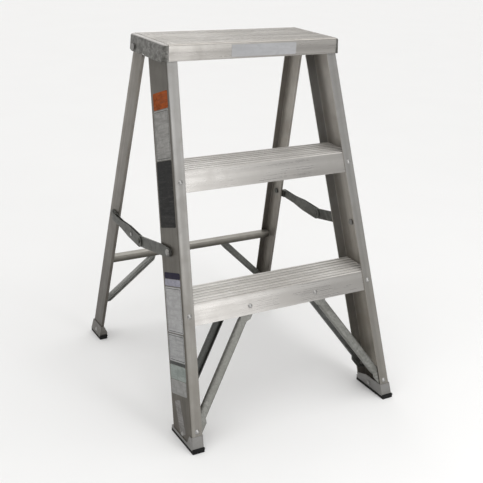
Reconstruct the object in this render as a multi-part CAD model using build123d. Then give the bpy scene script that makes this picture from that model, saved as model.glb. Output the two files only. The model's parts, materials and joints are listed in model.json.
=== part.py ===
from build123d import *
import math
import os

os.makedirs("parts", exist_ok=True)

# Stance, all sizes in millimetres
height = 840.0  # floor to the rib tops of the top step
base_width = 550.0  # across the outer faces of the front rails at floor level
top_width = 437.0  # the same at full height
base_depth = 650.0  # front soles to the heels of the rear shoes
front_run = 287.0  # how far back the front rails lean over the full height

# Front rails, channels that open towards the middle
rail_depth = 98.0
rail_flange = 26.0
rail_wall = 2.0
rail_corner = 3.5
rail_end_gap = 0.5  # between the rails' upper ends and the brackets' lips

# Rear legs, smaller channels set a little inside the rails
leg_depth = 54.0
leg_front_flange = 7.0
leg_rear_flange = 18.0
leg_wall = 1.8
leg_corner = 2.8
leg_inset_base = 8.5
leg_inset_top = 3.0
leg_end_radius = 19.0  # rounded end about the main pivot
leg_shoulder = 1.25  # end radii from the main pivot down to where the leg narrows
leg_gap = 29.5  # between the rails and the legs at the height of the main pivots

# Treads and their ribs
lower_tread = 307.0
upper_tread = 582.0
tread_skirt = 46.0
tread_wall = 2.0
tread_nose = 3.0
tread_end_gap = 1.5
rib_height = 1.2
rib_width = 4.5
rib_pitch = 13.0
rib_margin = 5.0

# Top step and the brackets at its ends
top_skirt = 36.5
top_wall = 2.2
top_fit = 1.0  # between the skirt and the rails or legs inside it
bracket_gauge = 2.5
bracket_cheek = 8.0  # thickness of its outer side
bracket_lip = 31.5  # from its outer side to the lip's edge under the step
bracket_bend = 9.5  # outside radius of its upright corners
bracket_round = 6.0  # of its upper edge
bracket_corner = 8.0
bracket_fit = 0.4
bracket_drop = 3.0  # its lower edge below the skirt's
bracket_notch = 15.0  # radius of the notch between rail and leg
bracket_notch_rise = 8.0
# Its rivets, as shares of the rail's depth and of the plate's height
bracket_rivet_shares = ((0.22, 0.50), (0.45, 0.77), (0.68, 0.77), (0.68, 0.45))

# Main pivot bolts
pivot_drop = 28.0  # below the top surface
pivot_radius = 4.0
pivot_head = 7.5
pivot_head_height = 4.0
pivot_nut_height = 5.5
pivot_thread_end = 1.5  # bolt past its nut
pivot_spacer_rim = 0.5  # spacer wider than the bolt's head
pivot_play = 0.7  # each side of the leg's slanted web
running_fit = 0.05

# Braces between the lower tread and the feet of the rails
brace_width = 21.0
brace_gauge = 2.0
brace_side = 8.0
brace_corner = 5.0  # outside radius of the rolled section
brace_tab = 30.0  # width of the flattened ends
brace_flat = 26.0
brace_ramp = 13.0  # length over which the section is flattened
brace_head_x = 88.5
brace_head_drop = 27.0  # below the lower tread's surface
brace_foot_gap = 1.5
brace_foot_rise = 9.5  # from the front shoes' tops to the foot rivets

# Rear crossbar and its two diagonals
bar_top = 246.0
bar_height = 18.0
bar_depth = 21.0
bar_gauge = 1.6
bar_end_gap = 1.0  # to the bend of the leg's web
bar_rivet_gap = 2.5  # from that bend to the rivets' tails
diagonal_width = 18.5
diagonal_tab = 16.0  # width of the flattened ends
diagonal_side = 9.0
diagonal_corner = 3.5
diagonal_flat = 13.0
diagonal_ramp = 10.0
diagonal_gap = 0.8  # between the diagonal's ends and the sheet beside them
diagonal_head_x = 98.0
diagonal_foot_z = 92.0

# Shoes and soles
sole_thick = 7.0
sole_lip = 3.6
sole_lip_height = 10.0
sole_corner = 2.0
shoe_floor = 2.0
shoe_wall = 1.4
shoe_fit = 0.3
shoe_corner_rim = 1.5  # added to the shoe's reach for its corner radius
front_shoe_height = 34.0
front_shoe_rim = 12.0  # top of the low outer side and of the heel
front_shoe_wrap = 8.0  # how far the front wall turns round the outer corner
front_shoe_slope = 34.0  # length over which the inner side falls to the heel
front_shoe_back = 22.0  # top of the inner side at the heel
front_heel = 5.0
rear_shoe_height = 40.0
rear_shoe_rim = 17.0  # where the inner side starts to slope off
rear_heel = 7.5
shoe_bolt_z = 19.0

# Rivets
rivet_head = 5.5
rivet_rise = 2.6
rivet_shank = 2.9
rivet_tail = 4.5
rivet_tail_height = 2.0
rivet_fit = 0.05
flush_head = 3.8
flush_rise = 0.9

# Folding spreaders on the outer sides
spreader_front_z = 403.5
spreader_rear_z = 382.0
elbow_share = 0.538  # along the line from the rear pivot to the front pivot
elbow_sag = 20.0  # below that line
link_gauge = 3.0
link_pad = 10.5
link_half = 13.2
link_taper = 30.0
cheek_gauge = 2.0
cheek_pad = 9.5
cheek_half = 14.0
cheek_flare_start = 0.42  # share of the rear link's length
cheek_flare_end = 0.66
jog_start = 21.0  # from the rear pivot to the bend that carries the cheeks
jog_length = 11.0
link_play = 0.4
link_stand_off = 1.6
pad_stand_off = 0.5
link_pivot_radius = 4.0
link_pivot_head = 8.0
link_pivot_rise = 3.0
link_collar = 8.0
link_tail = 3.0  # rivet past the inside of the web
link_slack = 0.3  # each side of a link on its rivet
elbow_head = 6.5
elbow_tail_rise = 1.6
button_taper = 22.0  # degrees, sides of the pivot rivets' heads

# Lines that the rails and legs follow
splay = (base_width - top_width) / 2 / height
front_slope = front_run / height
pivot_z = height - pivot_drop
shoe_out = shoe_fit + shoe_wall
foot_z = sole_thick + shoe_floor
rail_inner = max(rail_corner - rail_wall, 0.4)
leg_inner = max(leg_corner - leg_wall, 0.4)


def rail_x(z):
    return base_width / 2 - splay * z


def rail_y(z):
    return -base_depth / 2 + sole_lip + shoe_out + front_slope * (z - sole_thick)


def leg_x(z):
    return rail_x(z) - leg_inset_base - (leg_inset_top - leg_inset_base) * z / height


leg_foot_y = base_depth / 2 - rear_heel - leg_depth
leg_head_y = rail_y(pivot_z) + rail_depth + leg_gap
rear_slope = (leg_foot_y - leg_head_y) / (pivot_z - sole_thick)


def leg_y(z):
    return leg_foot_y - rear_slope * (z - sole_thick)


leg_splay = leg_x(0) - leg_x(1)
front_normal = Vector(0, -1, front_slope).normalized()
leg_normal = Vector(0, -1, -rear_slope).normalized()
rail_web_normal = Vector(1, 0, splay).normalized()
leg_web_normal = Vector(1, 0, leg_splay).normalized()
front_rise = math.hypot(1, front_slope)  # length along the rail's slope per unit of height
leg_rise = math.hypot(1, rear_slope)
front_plane = Plane(origin=(0, rail_y(0), 0), x_dir=(1, 0, 0), z_dir=front_normal)
back_plane = Plane(origin=(0, rail_y(0) + rail_depth, 0), x_dir=(-1, 0, 0), z_dir=-front_normal)
leg_back_plane = Plane(origin=(0, leg_y(0) + leg_depth, 0), x_dir=(-1, 0, 0), z_dir=-leg_normal)


# Shared shapes
def rectangle(x0, x1, y0, y1, corner=0):
    if corner:
        shape = RectangleRounded(x1 - x0, y1 - y0, corner)
    else:
        shape = Rectangle(x1 - x0, y1 - y0)
    return Pos((x0 + x1) / 2, (y0 + y1) / 2) * shape


def channel(depth, front_flange, rear_flange, wall, corner, inner):
    reach = max(front_flange, rear_flange) + 2 * corner
    outline = rectangle(-reach, 0, 0, depth, corner)
    hollow = rectangle(-reach - corner, -wall, wall, depth - wall, inner)
    front_edge = rectangle(-reach - corner, -front_flange, -1, depth / 2)
    rear_edge = rectangle(-reach - corner, -rear_flange, depth / 2, depth + 1)
    return outline - hollow - front_edge - rear_edge


def slanted(profile, x_at, y_at, bottom, top):
    start = Vector(x_at(bottom), y_at(bottom), bottom)
    way = Vector(x_at(top), y_at(top), top) - start
    return extrude(Pos(*start) * profile, amount=way.length, dir=way.normalized())


def at(seat, axis):
    return Plane(origin=seat, z_dir=axis).location


def drill(seat, axis, radius, reach=12.0):
    return at(seat, axis) * Cylinder(radius, 2 * reach)


def rivet(seat, axis, grip, head=rivet_head, rise=rivet_rise):
    foot = -grip - rivet_tail_height
    outline = Polyline(
        (0, rise), (0, foot), (rivet_tail, foot), (rivet_tail, -grip),
        (rivet_shank, -grip), (rivet_shank, 0), (head, 0),
    )
    ball = (head * head + rise * rise) / (2 * rise)
    half_turn = math.asin(head / ball) / 2
    crown = (ball * math.sin(half_turn), rise - ball + ball * math.cos(half_turn))
    dome = ThreePointArc((head, 0), crown, (0, rise))
    return at(seat, axis) * revolve(Plane.XZ * make_face(outline + dome), axis=Axis.Z)


def rivet_hole(seat, axis):
    return drill(seat, axis, rivet_shank + rivet_fit)


def rod(x0, x1, y, z, radius):
    return Pos((x0 + x1) / 2, y, z) * Rot(0, 90, 0) * Cylinder(radius, x1 - x0)


def mirrored(piece):
    return mirror(piece, about=Plane.YZ)


def pair(piece):
    return [piece, mirrored(piece)]


def save(node, pieces):
    solids = [solid for piece in pieces for solid in piece.solids()]
    shape = solids[0] if len(solids) == 1 else Compound(solids)
    export_step(shape, f"parts/{node}.step")


def save_sides(node, piece):
    save(f"{node}_left", [mirrored(piece)])
    save(f"{node}_right", [piece])


def ribbed_step(front, rear, under_front, under_rear, surface, wall, skirt, half_length):
    plate = surface - rib_height
    foot = surface - skirt
    outline = Polyline(
        (front(foot), foot), (front(plate), plate), (rear(plate), plate), (rear(foot), foot),
        (under_rear(foot), foot), (under_rear(plate - wall), plate - wall),
        (under_front(plate - wall), plate - wall), (under_front(foot), foot), close=True,
    )
    face = make_face(outline)
    corners = face.vertices().sort_by(Axis.Y)
    shoulders = [v for v in corners if abs(v.Y - plate) < 1e-6]
    section = fillet(shoulders, min(tread_nose, 1.4 * wall))
    for y in rib_lines(front(plate), rear(plate)):
        rib = Polyline(
            (y - rib_width / 2, plate - wall / 2), (y - rib_width / 2, plate),
            (y - rib_width / 2 + rib_height / 2, plate + rib_height),
            (y + rib_width / 2 - rib_height / 2, plate + rib_height),
            (y + rib_width / 2, plate), (y + rib_width / 2, plate - wall / 2), close=True,
        )
        section += make_face(rib)
    return extrude(Plane.YZ * section, amount=half_length, both=True)


def rib_lines(front, rear):
    room = rear - front - 2 * rib_margin - rib_width
    count = max(int(room // rib_pitch) + 1, 2)
    middle = (front + rear) / 2
    return [middle + (i - (count - 1) / 2) * rib_pitch for i in range(count)]


def strap(plane, head, foot, width, gauge, side, corner, tab, flat, ramp, offset, pad):
    # A rolled strap between two points of a plane, with flattened ends and a raised pad at its foot
    length = math.dist(head, foot)
    turn = math.degrees(math.atan2(head[1] - foot[1], head[0] - foot[0]))
    depth = gauge + side
    section = rectangle(-width / 2, width / 2, -3 * depth, 0, corner)
    inside = max(corner - gauge, 0.4)
    section -= rectangle(gauge - width / 2, width / 2 - gauge, -4 * depth, -gauge, inside)
    section -= rectangle(-width, width, -5 * depth, -depth)
    run = length / 2 - flat
    body = extrude(Plane.YZ * section, amount=run, both=True)
    profile = Polyline(
        (-run, gauge), (run, gauge), (run, -gauge), (run - ramp, -depth),
        (ramp - run, -depth), (-run, -gauge), close=True,
    )
    body &= extrude(Plane.XZ * make_face(profile), amount=width, both=True)
    neck = width / 2 - corner
    ear = make_face(Polyline(
        (run - ramp, -neck), (run, -tab / 2), (length / 2, -tab / 2),
        (length / 2, tab / 2), (run, tab / 2), (run - ramp, neck), close=True,
    ))
    ear += Pos(length / 2, 0) * Circle(tab / 2)
    for end in (0, 180):
        body += Rot(0, 0, end) * extrude(ear, amount=-gauge)
        body -= Rot(0, 0, end) * Pos(length / 2, 0, 0) * Cylinder(rivet_shank + rivet_fit, 6 * gauge)
    spacer = Cylinder(min(width, tab) / 2, pad) - Cylinder(rivet_shank + rivet_fit, 2 * pad)
    body += Pos(-length / 2, 0, pad / 2) * spacer
    centre = Pos((head[0] + foot[0]) / 2, (head[1] + foot[1]) / 2, -offset)
    return plane.location * centre * Rot(0, 0, turn) * body


# Rivet places on the right-hand side: seat, outward axis
def rail_seats(x, z):
    front = (Vector(x, rail_y(z), z), front_normal)
    back = (Vector(x, rail_y(z) + rail_depth, z), -front_normal)
    return [front, back]


def inside_rail(seats):
    return [(seat - axis * (rail_wall / front_rise), axis) for seat, axis in seats]


tread_rivet_lower = lower_tread - tread_skirt / 2
tread_rivet_upper = upper_tread - tread_skirt / 2
brace_foot_z = front_shoe_height + brace_foot_rise
brace_foot_x = rail_x(brace_foot_z) - (rail_flange + rail_wall) / 2
brace_head_z = lower_tread - brace_head_drop

tread_seats = []
for z in (tread_rivet_lower, tread_rivet_upper):
    tread_seats += rail_seats(rail_x(z) - (rail_flange + rail_wall) / 2, z)
brace_foot_seats = rail_seats(brace_foot_x, brace_foot_z)
brace_head_seats = inside_rail(rail_seats(brace_head_x, brace_head_z))

top_under = height - rib_height - top_wall
bracket_foot = height - top_skirt - bracket_drop
rail_top = top_under - bracket_gauge - rail_end_gap
bracket_seats = []
for share_y, share_z in bracket_rivet_shares:
    z = bracket_foot + share_z * (top_under - bracket_foot)
    y = rail_y(z) + share_y * rail_depth
    bracket_seats.append((Vector(rail_x(z) + bracket_cheek, y, z), rail_web_normal))

shoe_y = rail_y(shoe_bolt_z) + rail_depth / 2
front_shoe_seat = (Vector(rail_x(shoe_bolt_z), shoe_y, shoe_bolt_z), rail_web_normal)
heel_y = leg_y(shoe_bolt_z) + leg_depth / 2
rear_shoe_seat = (Vector(leg_x(shoe_bolt_z) + shoe_out, heel_y, shoe_bolt_z), leg_web_normal)

# Pivot places, as y and z
pivot_y = leg_y(pivot_z) + leg_depth / 2
front_pin = Vector(rail_y(spreader_front_z) + rail_depth / 2, spreader_front_z)
rear_pin = Vector(leg_y(spreader_rear_z) + leg_depth / 2, spreader_rear_z)
span = front_pin - rear_pin
drop = Vector(span.Y, -span.X).normalized() * -elbow_sag
elbow = rear_pin + span * elbow_share + drop

# Front rails
rail = slanted(
    channel(rail_depth, rail_flange, rail_flange, rail_wall, rail_corner, rail_inner),
    rail_x, rail_y, foot_z, rail_top,
)
for seat, axis in tread_seats + brace_foot_seats + bracket_seats + [front_shoe_seat]:
    rail -= rivet_hole(seat, axis)
rail -= rod(0, base_width, front_pin.X, front_pin.Y, link_pivot_radius + rivet_fit)
save_sides("front_rail", rail)

# Treads
brace_holes = [rivet_hole(seat, axis) for seat, axis in brace_head_seats]
tread_holes = [rivet_hole(seat, axis) for seat, axis in tread_seats]


def tread(surface):
    half = rail_x(surface) - rail_wall - rail_inner - tread_end_gap
    return ribbed_step(
        lambda z: rail_y(z) + rail_wall,
        lambda z: rail_y(z) + rail_depth - rail_wall,
        lambda z: rail_y(z) + rail_wall + tread_wall,
        lambda z: rail_y(z) + rail_depth - rail_wall - tread_wall,
        surface, tread_wall, tread_skirt, half,
    )


lower = tread(lower_tread)
for hole in brace_holes + tread_holes[:2]:
    for cut in pair(hole):
        lower -= cut
save("lower_tread", [lower])
upper = tread(upper_tread)
for hole in tread_holes[2:]:
    for cut in pair(hole):
        upper -= cut
save("upper_tread", [upper])

# Top step and end brackets
skirt_foot = height - top_skirt
top_front = rail_y(skirt_foot) - top_fit - top_wall
top_rear = leg_y(pivot_z) + leg_depth + top_fit + top_wall
bracket_side = rail_x(top_under) + bracket_cheek
top_half = bracket_side - bracket_bend - bracket_fit
top_step = ribbed_step(
    lambda z: top_front, lambda z: top_rear,
    lambda z: top_front + top_wall, lambda z: top_rear - top_wall,
    height, top_wall, top_skirt, top_half,
)
ribs = rib_lines(top_front, top_rear)
grooves = [(a + b) / 2 for a, b in zip(ribs, ribs[1:])]
rail_middle = rail_y(rail_top) + rail_depth / 2
behind_rail = (rail_y(rail_top) + rail_depth + pivot_y - leg_end_radius) / 2
flush_x = (bracket_side - bracket_lip + top_half) / 2
flush_seats = []
for target in (rail_middle, behind_rail):
    y = min(grooves, key=lambda groove: abs(groove - target))
    flush_seats.append((Vector(flush_x, y, height - rib_height), Vector(0, 0, 1)))
for seat, axis in flush_seats:
    for cut in pair(rivet_hole(seat, axis)):
        top_step -= cut
save("top_step", [top_step])

# Each bracket caps an end of the step, with a lip under the step and a plate down the rail's web
deck = height - rib_height
cap_start = top_half + bracket_fit
cap = slanted(
    rectangle(-2 * bracket_lip, bracket_cheek, top_front, top_rear, bracket_bend),
    rail_x, lambda z: 0, skirt_foot, deck,
)
cap = fillet(cap.faces().sort_by(Axis.Z)[-1].edges(), bracket_round)
cap_room = rectangle(cap_start, base_width, top_front, top_rear)
cap &= extrude(Pos(0, 0, skirt_foot) * cap_room, amount=top_skirt)
cap -= slanted(
    rectangle(-2 * bracket_lip, 0, top_front + bracket_gauge, top_rear - bracket_gauge, rail_corner),
    rail_x, lambda z: 0, skirt_foot - bracket_gauge, top_under - bracket_gauge,
)
plate = slanted(
    rectangle(0, bracket_cheek, top_front + bracket_bend, top_rear - bracket_bend),
    rail_x, lambda z: 0, bracket_foot, top_under - bracket_gauge,
)
plate = fillet(plate.edges().filter_by(Axis.X).group_by(Axis.Z)[0], bracket_corner)
notch_y = (rail_y(bracket_foot) + rail_depth + leg_y(bracket_foot)) / 2
plate -= rod(0, base_width, notch_y, bracket_foot + bracket_notch_rise - bracket_notch, bracket_notch)
lip_room = top_wall + bracket_fit
lip_face = rectangle(
    bracket_side - bracket_lip, cap_start + bracket_gauge, top_front + lip_room, top_rear - lip_room
)
lip = extrude(Pos(0, 0, top_under) * lip_face, amount=-bracket_gauge)
bracket = cap + plate + lip
for seat, axis in bracket_seats + flush_seats:
    bracket -= rivet_hole(seat, axis)
bracket -= rod(0, base_width, pivot_y, pivot_z, pivot_radius + running_fit)
save_sides("top_bracket", bracket)

# Braces
tread_gauge = tread_wall / front_rise
rail_gauge = rail_wall / front_rise
brace_head = (brace_head_x, brace_head_z * front_rise)
brace_foot = (brace_foot_x, brace_foot_z * front_rise)
brace_form = (brace_width, brace_gauge, brace_side, brace_corner, brace_tab, brace_flat, brace_ramp)
brace_seat = (rail_gauge + tread_gauge, tread_gauge)
web_room = rail_wall + rail_inner + brace_foot_gap
web_side = slanted(
    rectangle(-web_room, rail_flange, -rail_depth, 2 * rail_depth), rail_x, rail_y, 0, lower_tread
)
brace_floor = front_shoe_height + brace_foot_gap
shoe_side = extrude(Rectangle(2 * base_width, 2 * base_depth), amount=brace_floor)
front_brace = strap(front_plane, brace_head, brace_foot, *brace_form, *brace_seat)
front_brace = front_brace - web_side - shoe_side
back_head = (-brace_head[0], brace_head[1])
back_foot = (-brace_foot[0], brace_foot[1])
rear_brace = strap(back_plane, back_head, back_foot, *brace_form, *brace_seat)
rear_brace = rear_brace - web_side - shoe_side
save_sides("front_brace", front_brace)
save_sides("rear_brace", rear_brace)

# Rivets of the front frame
tread_grip = rail_gauge + tread_gauge
tread_rivets = [rivet(seat, axis, tread_grip) for seat, axis in tread_seats]
save("tread_rivets", [side for one in tread_rivets for side in pair(one)])
brace_rivets = [rivet(seat, axis, tread_gauge + brace_gauge) for seat, axis in brace_head_seats]
brace_rivets += [rivet(seat, axis, tread_grip + brace_gauge) for seat, axis in brace_foot_seats]
save("brace_rivets", [side for one in brace_rivets for side in pair(one)])
web_grip = (bracket_cheek + rail_wall) * rail_web_normal.X
bracket_rivets = [rivet(seat, axis, web_grip) for seat, axis in bracket_seats]
save("bracket_rivets", [side for one in bracket_rivets for side in pair(one)])
flush_grip = top_wall + bracket_gauge
flush_rivets = [rivet(seat, axis, flush_grip, flush_head, flush_rise) for seat, axis in flush_seats]
save("top_rivets", [side for one in flush_rivets for side in pair(one)])

# Front shoes and soles
shoe_corner = shoe_out + shoe_corner_rim
heel_back = rail_depth + shoe_out + front_heel
shoe = slanted(
    rectangle(-rail_flange - shoe_out, shoe_out, -shoe_out, rail_depth + shoe_out, shoe_corner),
    rail_x, rail_y, sole_thick, front_shoe_height,
)
shoe += slanted(
    rectangle(-rail_flange - shoe_out, shoe_out, rail_depth / 2, heel_back, shoe_corner),
    rail_x, rail_y, sole_thick, front_shoe_rim,
)
shoe -= slanted(
    rectangle(-rail_flange - shoe_fit, shoe_fit, -shoe_fit, rail_depth + shoe_fit),
    rail_x, rail_y, foot_z, 2 * front_shoe_height,
)
shoe_split = rail_x(front_shoe_height) - rail_flange / 2
above = front_shoe_height + 1
behind = rail_y(above) + 2 * rail_depth
wrap_end = rail_y(front_shoe_height) + front_shoe_wrap
outer_side = Polyline(
    (wrap_end, above), (wrap_end + front_shoe_wrap, front_shoe_rim),
    (behind, front_shoe_rim), (behind, above), close=True,
)
shoe -= extrude(Plane.YZ.offset(shoe_split) * make_face(outer_side), amount=rail_depth)
slope_end = rail_y(front_shoe_rim) + rail_depth
inner_side = Polyline(
    (slope_end - front_shoe_slope, above), (slope_end - front_shoe_slope, front_shoe_height),
    (slope_end, front_shoe_back), (behind, front_shoe_back), (behind, above), close=True,
)
shoe -= extrude(Plane.YZ.offset(shoe_split) * make_face(inner_side), amount=-rail_depth)
shoe -= drill(*front_shoe_seat, rivet_shank + rivet_fit, 2 * rail_flange)
save_sides("front_shoe", shoe)
shoe_grip = (rail_flange + shoe_out) * rail_web_normal.X
save("front_shoe_bolts", pair(rivet(*front_shoe_seat, shoe_grip)))


def sole(x0, x1, front, rear, x_at, y_at):
    slab = extrude(rectangle(x0, x1, front, rear, sole_corner), amount=sole_thick)
    ledge = rectangle(x0 - x_at(sole_thick), x1 - x_at(sole_thick), -shoe_out - sole_lip, -shoe_out)
    return slab + slanted(ledge, x_at, y_at, sole_thick, sole_lip_height)


front_sole = sole(
    rail_x(sole_thick) - rail_flange - shoe_out, rail_x(sole_thick) + shoe_out,
    rail_y(sole_thick) - shoe_out - sole_lip, rail_y(sole_thick) + heel_back, rail_x, rail_y,
)
save_sides("front_sole", front_sole)

# Rear legs
leg = slanted(
    channel(leg_depth, leg_front_flange, leg_rear_flange, leg_wall, leg_corner, leg_inner),
    leg_x, leg_y, foot_z, pivot_z + leg_end_radius + 2,
)
shoulder_z = pivot_z - leg_shoulder * leg_end_radius
keep = Pos(0, shoulder_z - height) * Rectangle(4 * base_depth, 2 * height)
keep += make_face(Polyline(
    (leg_y(shoulder_z) - 1, shoulder_z - 1), (pivot_y - leg_end_radius, pivot_z),
    (pivot_y + leg_end_radius, pivot_z), (leg_y(shoulder_z) + leg_depth + 1, shoulder_z - 1),
    close=True,
))
keep += Pos(pivot_y, pivot_z) * Circle(leg_end_radius)
leg &= extrude(Plane.YZ * keep, amount=base_width)
leg -= rod(0, base_width, pivot_y, pivot_z, pivot_radius + running_fit)
leg -= rod(0, base_width, rear_pin.X, rear_pin.Y, link_pivot_radius + rivet_fit)

# Rear crossbar, an inverted trough between the rear flanges, and its diagonals
bar_foot = bar_top - bar_height
bar_middle = bar_top - bar_height / 2
bar_half = leg_x(bar_top) - leg_wall - leg_inner - bar_end_gap


def bar_back(z):
    return leg_y(z) + leg_depth - leg_wall


bar_under = bar_top - bar_gauge
bar_front_in = bar_gauge - bar_depth
crossbar = extrude(
    Plane.YZ * make_face(Polyline(
        (bar_back(bar_foot), bar_foot), (bar_back(bar_top), bar_top),
        (bar_back(bar_top) - bar_depth, bar_top), (bar_back(bar_foot) - bar_depth, bar_foot),
        (bar_back(bar_foot) + bar_front_in, bar_foot), (bar_back(bar_under) + bar_front_in, bar_under),
        (bar_back(bar_under) - bar_gauge, bar_under), (bar_back(bar_foot) - bar_gauge, bar_foot),
        close=True,
    )),
    amount=bar_half, both=True,
)
leg_gauge = leg_wall / leg_rise
bar_sheet = bar_gauge / leg_rise


def leg_back(x, z):
    return Vector(x, leg_y(z) + leg_depth, z)


bar_rivet_x = leg_x(bar_middle) - leg_wall - leg_inner - rivet_tail - bar_rivet_gap
bar_seat = (leg_back(bar_rivet_x, bar_middle), -leg_normal)
diagonal_foot_x = leg_x(diagonal_foot_z) - leg_wall - leg_inner - diagonal_tab / 2 - diagonal_gap
foot_seat = (leg_back(diagonal_foot_x, diagonal_foot_z), -leg_normal)
diagonal_head_z = bar_under - diagonal_tab / 2 - diagonal_gap
head_seat = (leg_back(diagonal_head_x, diagonal_head_z) + leg_normal * leg_gauge, -leg_normal)
diagonal = strap(
    leg_back_plane, (-diagonal_head_x, diagonal_head_z * leg_rise),
    (-diagonal_foot_x, diagonal_foot_z * leg_rise),
    diagonal_width, bar_gauge, diagonal_side, diagonal_corner,
    diagonal_tab, diagonal_flat, diagonal_ramp, leg_gauge + bar_sheet, bar_sheet,
)
for seat, axis in (bar_seat, head_seat):
    for cut in pair(rivet_hole(seat, axis)):
        crossbar -= cut
for seat, axis in (bar_seat, foot_seat, rear_shoe_seat):
    leg -= rivet_hole(seat, axis)
save_sides("rear_leg", leg)
save("rear_crossbar", [crossbar])
save_sides("rear_diagonal", diagonal)
rear_rivets = [
    rivet(*bar_seat, leg_gauge + bar_sheet),
    rivet(*foot_seat, leg_gauge + bar_sheet + bar_gauge),
    rivet(*head_seat, bar_sheet + bar_gauge),
]
save("rear_frame_rivets", [side for one in rear_rivets for side in pair(one)])

# Rear shoes, sloped off on the inner side, and their soles
leg_inner_side = leg_rear_flange + shoe_out
low = rectangle(
    leg_x(sole_thick) - leg_inner_side, leg_x(sole_thick) + shoe_out,
    leg_y(sole_thick) - shoe_out, leg_y(sole_thick) + leg_depth + rear_heel,
)
high = rectangle(
    leg_x(rear_shoe_height) - leg_inner_side, leg_x(rear_shoe_height) + shoe_out,
    leg_y(rear_shoe_height) - shoe_out, leg_y(rear_shoe_height) + leg_depth + shoe_out,
)
rear_shoe = loft([Pos(0, 0, sole_thick) * low, Pos(0, 0, rear_shoe_height) * high], ruled=True)
rear_shoe -= slanted(
    rectangle(-leg_rear_flange - shoe_fit, shoe_fit, -shoe_fit, leg_depth + shoe_fit),
    leg_x, leg_y, foot_z, 2 * rear_shoe_height,
)
rim_x = leg_x(rear_shoe_rim) - leg_inner_side
crest_x = leg_x(rear_shoe_height) - leg_front_flange
slope_off = make_face(Polyline(
    (rim_x - leg_inner_side, rear_shoe_rim), (rim_x, rear_shoe_rim), (crest_x, rear_shoe_height),
    (crest_x, rear_shoe_height + 1), (rim_x - leg_inner_side, rear_shoe_height + 1), close=True,
))
rear_shoe -= extrude(Plane.XZ * slope_off, amount=base_depth, both=True)
rear_shoe -= rivet_hole(*rear_shoe_seat)
save_sides("rear_shoe", rear_shoe)
save("rear_shoe_rivets", pair(rivet(*rear_shoe_seat, (shoe_out + leg_wall) * leg_web_normal.X)))
rear_sole = sole(
    leg_x(sole_thick) - leg_inner_side, leg_x(sole_thick) + shoe_out,
    leg_y(sole_thick) - shoe_out - sole_lip, leg_y(sole_thick) + leg_depth + rear_heel, leg_x, leg_y,
)
save_sides("rear_sole", rear_sole)

# Main pivot bolts, spacers and nuts
plate_x = rail_x(pivot_z)
leg_face = leg_x(pivot_z)
nut_x = leg_face - leg_wall - pivot_play
bolt_tail = nut_x - pivot_nut_height - pivot_thread_end
bolt_top = plate_x + bracket_cheek + pivot_head_height
bolt = rod(bolt_tail, bolt_top - pivot_head_height / 2, pivot_y, pivot_z, pivot_radius)
bolt += rod(plate_x + bracket_cheek / 2, bolt_top, pivot_y, pivot_z, pivot_head) - bracket
spacer_radius = pivot_head + pivot_spacer_rim
spacer = rod(leg_face + pivot_play, plate_x + bracket_cheek / 2, pivot_y, pivot_z, spacer_radius)
spacer -= rod(0, base_width, pivot_y, pivot_z, pivot_radius + rivet_fit)
spacer -= bracket
nut = extrude(
    Plane.YZ.offset(nut_x - pivot_nut_height) * Pos(pivot_y, pivot_z) * RegularPolygon(pivot_head, 6),
    amount=pivot_nut_height,
)
nut -= rod(0, base_width, pivot_y, pivot_z, pivot_radius + rivet_fit)
save("leg_pivot_bolts", pair(bolt))
save("leg_pivot_spacers", pair(spacer))
save("leg_pivot_nuts", pair(nut))

# Spreader links lie in planes of constant x outside the rails
link_x = rail_x(spreader_front_z - link_pad) + link_stand_off
inner_x = link_x - link_play - cheek_gauge
outer_x = link_x + link_gauge + link_play


def link_plane(start, end, x):
    way = end - start
    return Plane(origin=(x, start.X, start.Y), x_dir=(0, way.X, way.Y), z_dir=(1, 0, 0))


def link_face(stations):
    lower_edge = [(d, -half) for d, half in stations]
    upper_edge = [(d, half) for d, half in reversed(stations)]
    face = make_face(Polyline(*lower_edge, *upper_edge, close=True))
    for d, half in (stations[0], stations[-1]):
        face += Pos(d, 0) * Circle(half)
    return face


front_length = (elbow - front_pin).length
rear_length = (elbow - rear_pin).length
front_stations = [(0, link_pad), (link_taper, link_half), (front_length, link_half)]
front_link = extrude(link_plane(front_pin, elbow, link_x) * link_face(front_stations), amount=link_gauge)
front_link -= rod(0, base_width, front_pin.X, front_pin.Y, link_pivot_radius + running_fit)
front_link -= rod(0, base_width, elbow.X, elbow.Y, link_pivot_radius + rivet_fit)
save_sides("spreader_front_link", front_link)
save_sides("spreader_elbow_bush", rod(link_x, link_x + link_gauge, elbow.X, elbow.Y, link_pivot_radius))

pad_x = leg_x(spreader_rear_z - cheek_pad) + pad_stand_off
jog_end = jog_start + jog_length
flare_start = max(rear_length * cheek_flare_start, jog_end + 1.0)
flare_end = max(rear_length * cheek_flare_end, flare_start + 1.0)
cheek = link_face([(flare_start, cheek_pad), (flare_end, cheek_half), (rear_length, cheek_half)])
cheek += rectangle(jog_start, flare_start, -cheek_pad, cheek_pad)
cheek -= rectangle(0, jog_start, -cheek_half, cheek_half)
rear_link = extrude(link_plane(rear_pin, elbow, inner_x) * cheek, amount=cheek_gauge)
rear_link += extrude(link_plane(rear_pin, elbow, outer_x) * cheek, amount=cheek_gauge)
outside = outer_x + cheek_gauge
pad = Circle(cheek_pad) + rectangle(0, jog_end, -cheek_pad, cheek_pad)
rear_link += extrude(link_plane(rear_pin, elbow, pad_x) * pad, amount=cheek_gauge)
jog = rectangle(jog_start, jog_end, -cheek_pad, cheek_pad)
rear_link += extrude(link_plane(rear_pin, elbow, pad_x) * jog, amount=outside - pad_x)
rear_link -= rod(0, base_width, rear_pin.X, rear_pin.Y, link_pivot_radius + running_fit)
rear_link -= rod(0, base_width, elbow.X, elbow.Y, link_pivot_radius + rivet_fit)
save_sides("spreader_rear_link", rear_link)


def button(x, side, radius, rise=link_pivot_rise):
    return Pos(x, 0, 0) * Rot(0, 90 * side, 0) * extrude(Circle(radius), amount=rise, taper=button_taper)


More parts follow.
